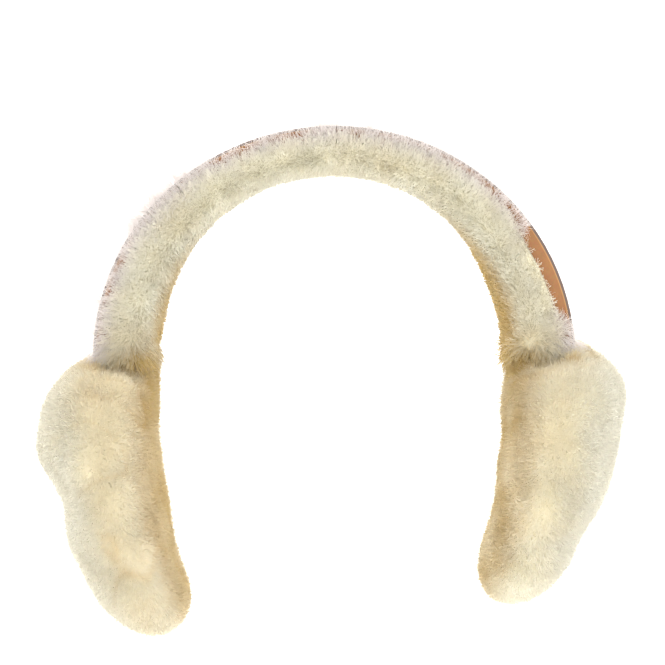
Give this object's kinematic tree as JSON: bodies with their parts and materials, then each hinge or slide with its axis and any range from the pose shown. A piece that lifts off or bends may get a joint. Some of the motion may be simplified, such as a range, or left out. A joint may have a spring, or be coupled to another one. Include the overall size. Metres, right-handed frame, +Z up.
{
  "type": "fur earmuffs",
  "caption": "Sheepskin earmuffs: an arched leather band lined with fleece, with a deep, soft, lumpy fur muff at each end that covers the ear.",
  "frame": {"origin": "under the top of the band, in the middle, where the fleece rests on the crown when worn", "axes": "+Z up, front toward -Y, +X toward the right in the front view, along the line through both ears"},
  "size_m": [0.2524, 0.106, 0.2184],
  "materials": {
    "leather": "tan suede, matt",
    "fleece": "cream sheepskin pile",
    "fur": "warm cream deep sheepskin fur"
  },
  "bodies": {
    "root": {"band_leather": "leather", "band_fleece": "fleece", "muff_left": "fur", "muff_right": "fur"}
  },
  "joints": []
}
